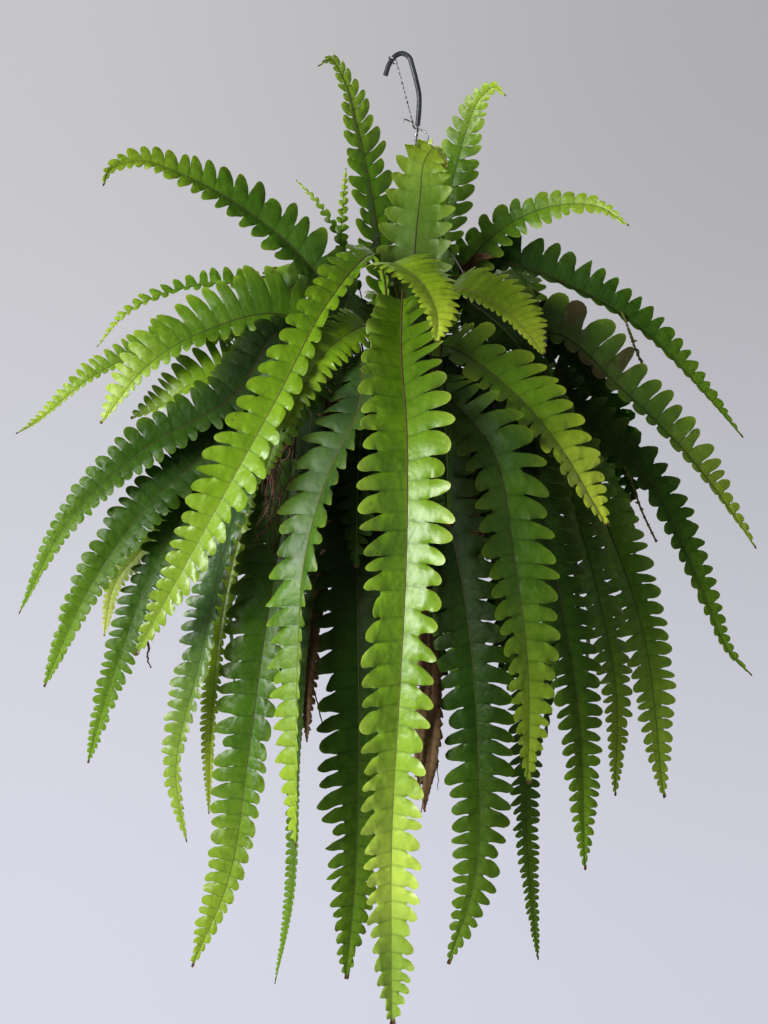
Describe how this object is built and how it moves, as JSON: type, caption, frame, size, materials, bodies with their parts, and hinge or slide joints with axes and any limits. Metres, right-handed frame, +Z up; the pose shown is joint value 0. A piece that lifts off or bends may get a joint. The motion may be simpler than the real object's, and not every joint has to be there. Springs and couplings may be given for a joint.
{
  "type": "hanging potted fern",
  "caption": "Hanging fern with long lobed fronds that arch and trail over a wire basket with fibre liner and soil, on a coated strap for a hook.",
  "frame": {"origin": "the point under the bend of the hanger's strap, which rests on the hook", "axes": "+Z up, -Y towards the front of the fern, +X to its right as seen from the front"},
  "size_m": [0.6573, 0.5291, 0.8153],
  "materials": {
    "frond_old": "dark green leaf, semi-gloss",
    "frond_blue": "bluish green leaf, glossy",
    "frond_mature": "mid green leaf, semi-gloss",
    "frond_young": "light green leaf, semi-gloss",
    "frond_fresh": "bright yellow-green leaf, semi-gloss",
    "frond_pale": "pale green leaf, soft",
    "frond_stained": "green leaf with brown stains",
    "frond_dry": "dried brown leaf, matte",
    "fibre": "matted plant fibre",
    "earth": "damp peaty potting soil, matte",
    "roots": "brown hairy roots, matte",
    "dark_steel": "dark painted wire",
    "steel": "dull galvanised wire",
    "coating": "dark slate rubber coating"
  },
  "bodies": {
    "root": {"basket_frame": "dark_steel", "liner": "fibre", "soil": "earth", "root_tangle": "roots", "hanger_strap": "coating", "hanger_tie": "steel", "hanger_wires": "steel", "frond_back_1": "frond_old", "frond_back_10": "frond_mature", "frond_back_11": "frond_mature", "frond_back_12": "frond_young", "frond_back_13": "frond_young", "frond_back_14": "frond_young", "frond_back_2": "frond_old", "frond_back_3": "frond_old", "frond_back_4": "frond_old", "frond_back_5": "frond_old", "frond_back_6": "frond_old", "frond_back_7": "frond_mature", "frond_back_8": "frond_mature", "frond_back_9": "frond_mature", "frond_crown_1": "frond_young", "frond_crown_2": "frond_young", "frond_crown_3": "frond_fresh", "frond_crown_4": "frond_mature", "frond_crown_5": "frond_young", "frond_crown_6": "frond_young", "frond_crown_7": "frond_young", "frond_dry_left": "frond_dry", "frond_dry_right": "frond_dry", "frond_front_1": "frond_fresh", "frond_front_2": "frond_fresh", "frond_front_3": "frond_fresh", "frond_front_4": "frond_blue", "frond_front_5": "frond_fresh", "frond_front_6": "frond_old", "frond_front_7": "frond_old", "frond_left_1": "frond_young", "frond_left_10": "frond_old", "frond_left_2": "frond_young", "frond_left_2_behind": "frond_young", "frond_left_3": "frond_mature", "frond_left_4": "frond_mature", "frond_left_5": "frond_old", "frond_left_6": "frond_pale", "frond_left_7": "frond_old", "frond_left_8": "frond_blue", "frond_left_9": "frond_pale", "frond_lower_1": "frond_old", "frond_lower_2": "frond_old", "frond_lower_3": "frond_mature", "frond_lower_4": "frond_old", "frond_lower_5": "frond_old", "frond_lower_6": "frond_old", "frond_lower_7": "frond_mature", "frond_right_1": "frond_old", "frond_right_2": "frond_stained", "frond_right_3": "frond_old", "frond_right_4": "frond_fresh", "frond_right_5": "frond_fresh"}
  },
  "joints": []
}
